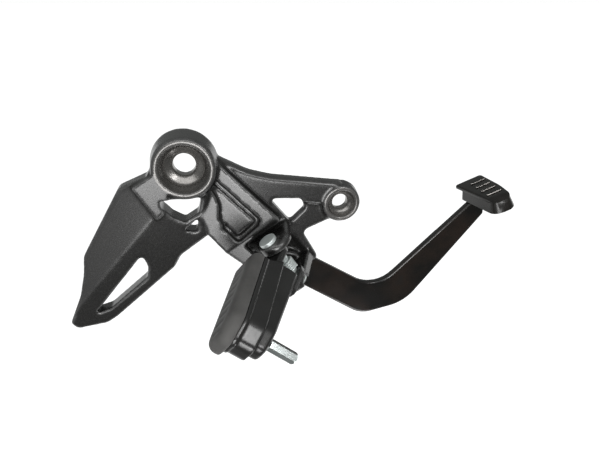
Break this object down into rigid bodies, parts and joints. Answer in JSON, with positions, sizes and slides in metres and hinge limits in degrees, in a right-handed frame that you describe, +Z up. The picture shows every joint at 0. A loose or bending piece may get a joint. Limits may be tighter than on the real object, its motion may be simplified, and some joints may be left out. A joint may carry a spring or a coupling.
{
  "type": "rear brake pedal with step bracket",
  "caption": "Right-hand motorcycle step bracket with heel guard, folding rubber-topped footpeg and a bent brake pedal on a sprung pivot.",
  "frame": {"origin": "on the axis of the swing arm bolt's bore, at the bracket's inboard mounting face", "axes": "+X forward, +Y inboard along the bolt's bore, +Z up as the bracket stands in the picture"},
  "size_m": [0.3233, 0.1355, 0.1623],
  "materials": {
    "bracket_casting": "die-cast, satin dark grey coat with a fine sparkle",
    "peg_casting": "die-cast, semi-gloss near-black coat",
    "peg_rubber": "matte moulded rubber",
    "zinc_plate": "bright bluish zinc plate",
    "spring_steel": "oiled spring steel",
    "pedal_paint": "gloss black paint",
    "bush_bronze": "sintered bronze",
    "seal_rubber": "matte rubber"
  },
  "bodies": {
    "bracket": {"step_bracket": "bracket_casting", "hinge_pin": "zinc_plate", "hinge_pin_washer": "zinc_plate", "hinge_pin_clip": "spring_steel", "peg_return_spring": "zinc_plate", "pivot_shaft": "zinc_plate", "thrust_washer": "zinc_plate", "pivot_circlip": "spring_steel", "pedal_return_spring": "spring_steel"},
    "footpeg": {"footpeg_casting": "peg_casting", "footpeg_rubber": "peg_rubber", "rubber_screws": "zinc_plate", "bank_sensor": "zinc_plate"},
    "pedal": {"pedal_arm": "pedal_paint", "pedal_pad": "pedal_paint", "pedal_hub": "pedal_paint", "hub_bush": "bush_bronze", "outer_dust_seal": "seal_rubber", "inner_dust_seal": "seal_rubber", "pushrod_lever": "pedal_paint"}
  },
  "joints": [
    {"name": "pedal_pivot", "type": "hinge", "parent": "bracket", "child": "pedal", "pos_m": [0.066, 0.01055, -0.0835], "axis": [0, 1, 0], "range_deg": [0, 12], "stiffness_Nm_per_rad": 1.8, "springref_deg": -22.92},
    {"name": "footpeg_fold", "type": "hinge", "parent": "bracket", "child": "footpeg", "pos_m": [0.0509, -0.0294, -0.0506], "axis": [0.5402, 0, -0.8415], "range_deg": [0, 40], "stiffness_Nm_per_rad": 0.15, "springref_deg": -28.65}
  ]
}
